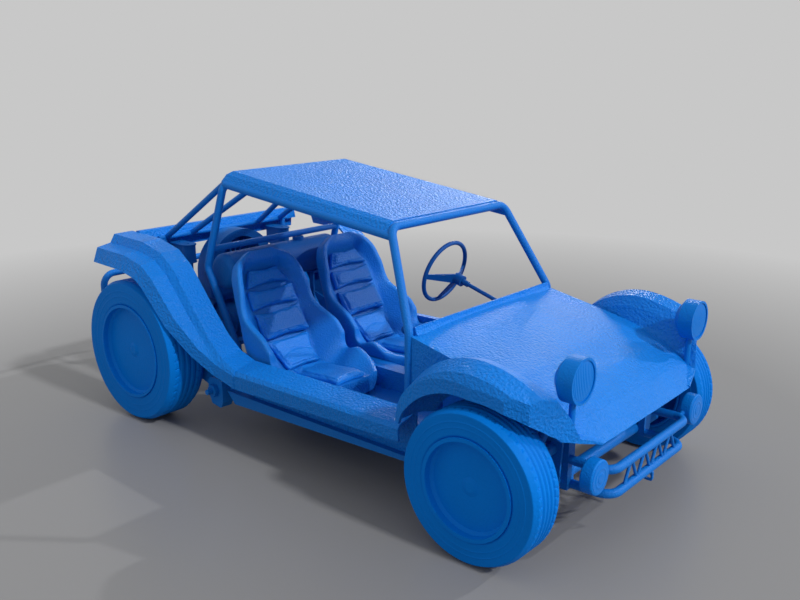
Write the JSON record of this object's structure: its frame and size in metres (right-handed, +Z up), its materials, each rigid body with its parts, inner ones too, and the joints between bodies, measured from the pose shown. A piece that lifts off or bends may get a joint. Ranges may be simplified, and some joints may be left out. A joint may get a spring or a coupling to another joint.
{
  "type": "dune buggy",
  "caption": "Open dune buggy with moulded fenders and hood, tube cage with flat roof, bucket seats, rear engine and steered front wheels.",
  "frame": {"origin": "on the ground, under the middle of the bounding box", "axes": "+X forward, +Y to the vehicle's left, +Z up"},
  "size_m": [3.2602, 1.63, 1.333],
  "materials": {
    "body_gelcoat": "glossy moulded gelcoat",
    "frame_powdercoat": "satin powder coat on steel tube",
    "tyre_rubber": "matt blue rubber",
    "wheel_paint": "satin painted steel",
    "seat_vinyl": "grained vinyl",
    "engine_paint": "painted castings and sheet",
    "lamp_paint": "gloss painted pressings",
    "control_paint": "painted steel and rubber grips"
  },
  "bodies": {
    "chassis": {"carburettors": "engine_paint", "dampers": "frame_powdercoat", "dash_panel": "body_gelcoat", "engine": "engine_paint", "exhaust": "engine_paint", "fan_shroud": "engine_paint", "floor_pan": "frame_powdercoat", "front_arms": "frame_powdercoat", "front_axle_beam": "frame_powdercoat", "front_body": "body_gelcoat", "front_bumper": "frame_powdercoat", "front_frame": "frame_powdercoat", "fuel_tank": "engine_paint", "gear_lever": "control_paint", "gearbox": "engine_paint", "headlamps": "lamp_paint", "main_hoop": "frame_powdercoat", "rear_arms": "frame_powdercoat", "rear_axles": "frame_powdercoat", "rear_deck": "body_gelcoat", "rear_fenders": "body_gelcoat", "rear_frame": "frame_powdercoat", "rear_guard": "frame_powdercoat", "rear_stays": "frame_powdercoat", "roof_panel": "body_gelcoat", "roof_rails": "frame_powdercoat", "seat_pads": "seat_vinyl", "seat_runners": "frame_powdercoat", "seat_shells": "seat_vinyl", "side_rails": "frame_powdercoat", "side_sills": "body_gelcoat", "spot_lamps": "lamp_paint", "steering_column": "control_paint", "tail_lamps": "lamp_paint", "torsion_housing": "frame_powdercoat", "windscreen_frame": "frame_powdercoat"},
    "knuckle_left": {"knuckle_left": "frame_powdercoat"},
    "knuckle_right": {"knuckle_right": "frame_powdercoat"},
    "front_left_wheel": {"tyre_front_left": "tyre_rubber", "wheel_front_left": "wheel_paint"},
    "front_right_wheel": {"tyre_front_right": "tyre_rubber", "wheel_front_right": "wheel_paint"},
    "rear_left_wheel": {"tyre_rear_left": "tyre_rubber", "wheel_rear_left": "wheel_paint"},
    "rear_right_wheel": {"tyre_rear_right": "tyre_rubber", "wheel_rear_right": "wheel_paint"},
    "track_rod": {"track_rod": "frame_powdercoat"},
    "steering_wheel": {"steering_wheel": "control_paint"}
  },
  "joints": [
    {"name": "left_steer", "type": "hinge", "parent": "chassis", "child": "knuckle_left", "pos_m": [1.245, 0.59, 0.312], "axis": [0, 0, 1], "range_deg": [-25, 25]},
    {"name": "right_steer", "type": "hinge", "parent": "chassis", "child": "knuckle_right", "pos_m": [1.245, -0.59, 0.312], "axis": [0, 0, 1], "range_deg": [-25, 25]},
    {"name": "track_rod_slide", "type": "slide", "parent": "chassis", "child": "track_rod", "axis": [0, 1, 0], "range_m": [-0.054, 0.054]},
    {"name": "steering_wheel_turn", "type": "hinge", "parent": "chassis", "child": "steering_wheel", "pos_m": [0.368, 0.3, 0.787], "axis": [-0.9563, 0, 0.2924], "range_deg": [-301, 301]},
    {"name": "front_left_spin", "type": "hinge", "parent": "knuckle_left", "child": "front_left_wheel", "pos_m": [1.245, 0.716, 0.312], "axis": [0, 1, 0], "continuous": true},
    {"name": "front_right_spin", "type": "hinge", "parent": "knuckle_right", "child": "front_right_wheel", "pos_m": [1.245, -0.716, 0.312], "axis": [0, 1, 0], "continuous": true},
    {"name": "rear_left_spin", "type": "hinge", "parent": "chassis", "child": "rear_left_wheel", "pos_m": [-0.977, 0.698, 0.38], "axis": [0, 1, 0], "continuous": true},
    {"name": "rear_right_spin", "type": "hinge", "parent": "chassis", "child": "rear_right_wheel", "pos_m": [-0.977, -0.698, 0.38], "axis": [0, 1, 0], "continuous": true}
  ],
  "couplings": [
    {"joint": "right_steer", "follows": "left_steer", "ratio": 1},
    {"joint": "track_rod_slide", "follows": "left_steer", "m_per_rad": -0.1211},
    {"joint": "steering_wheel_turn", "follows": "left_steer", "ratio": 12}
  ]
}
